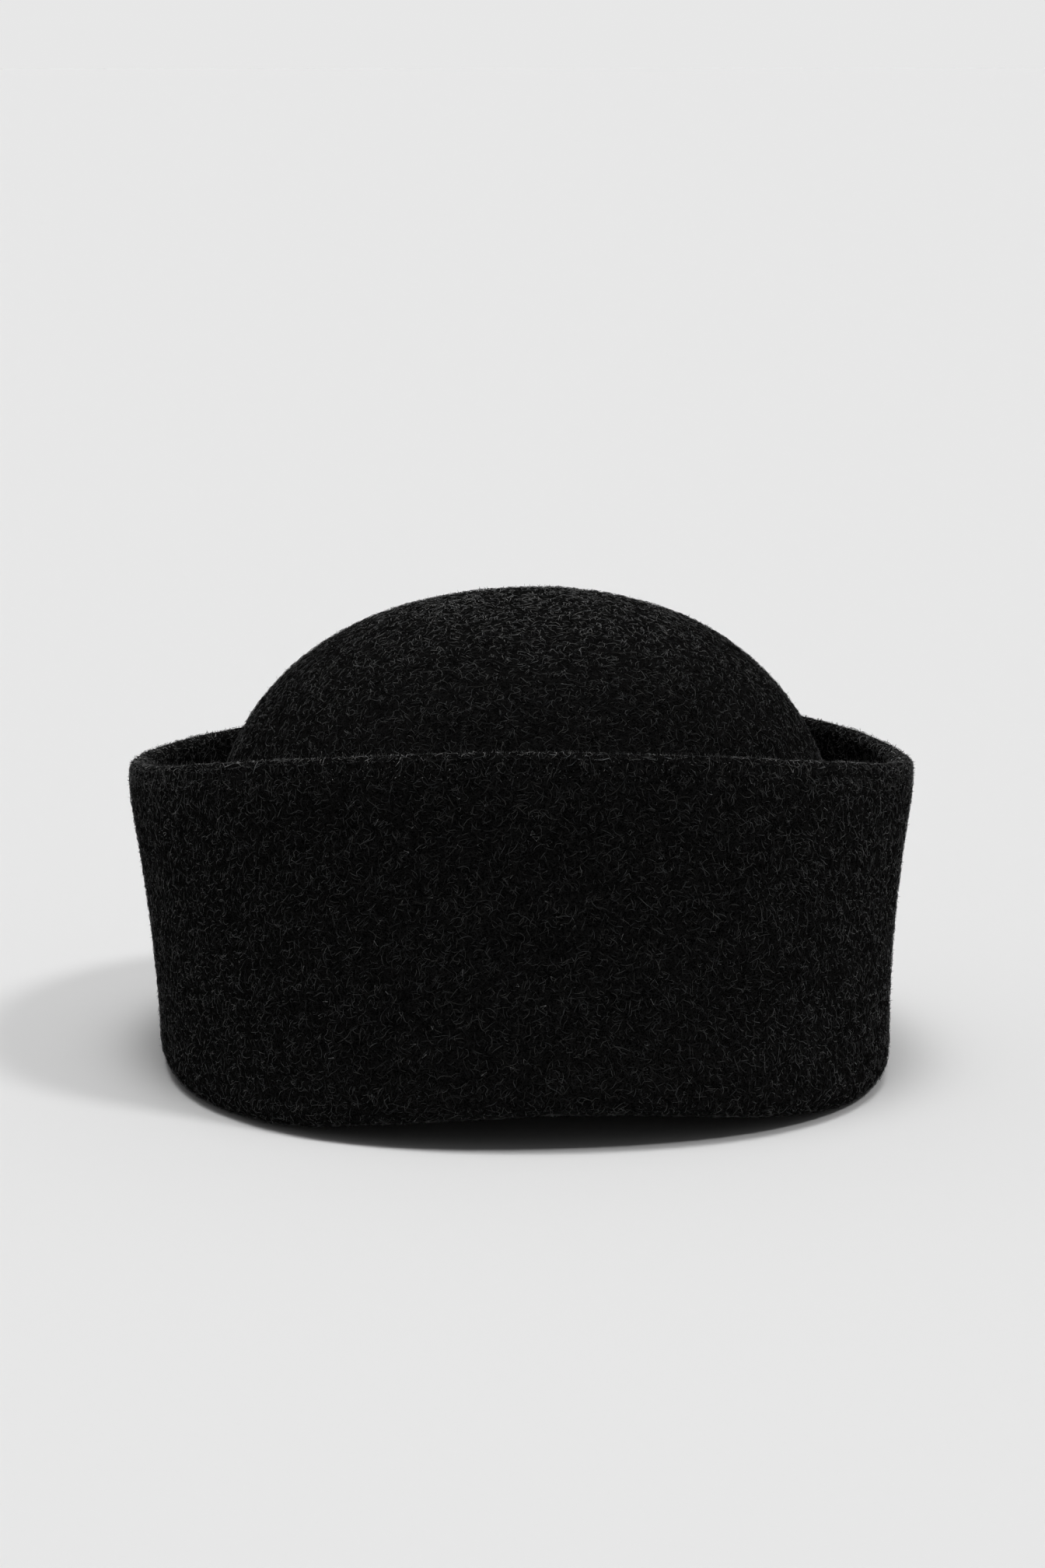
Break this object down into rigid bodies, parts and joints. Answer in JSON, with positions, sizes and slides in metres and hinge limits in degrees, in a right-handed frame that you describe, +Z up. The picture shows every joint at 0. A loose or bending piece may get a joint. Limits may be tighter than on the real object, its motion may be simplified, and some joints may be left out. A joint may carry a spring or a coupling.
{
  "type": "pillbox hat",
  "caption": "Black wool felt hat with a domed oval crown and a deep turned-up cuff, highest in front and flared towards its edge.",
  "frame": {"origin": "on the table, under the middle of the hat's box", "axes": "+Z up through the crown, +Y from the front of the hat to its back, +X to the right of a viewer who faces the front"},
  "size_m": [0.2044, 0.2384, 0.1227],
  "materials": {
    "felt": "matte, fibrous wool felt"
  },
  "bodies": {
    "root": {"felt_body": "felt"}
  },
  "joints": []
}
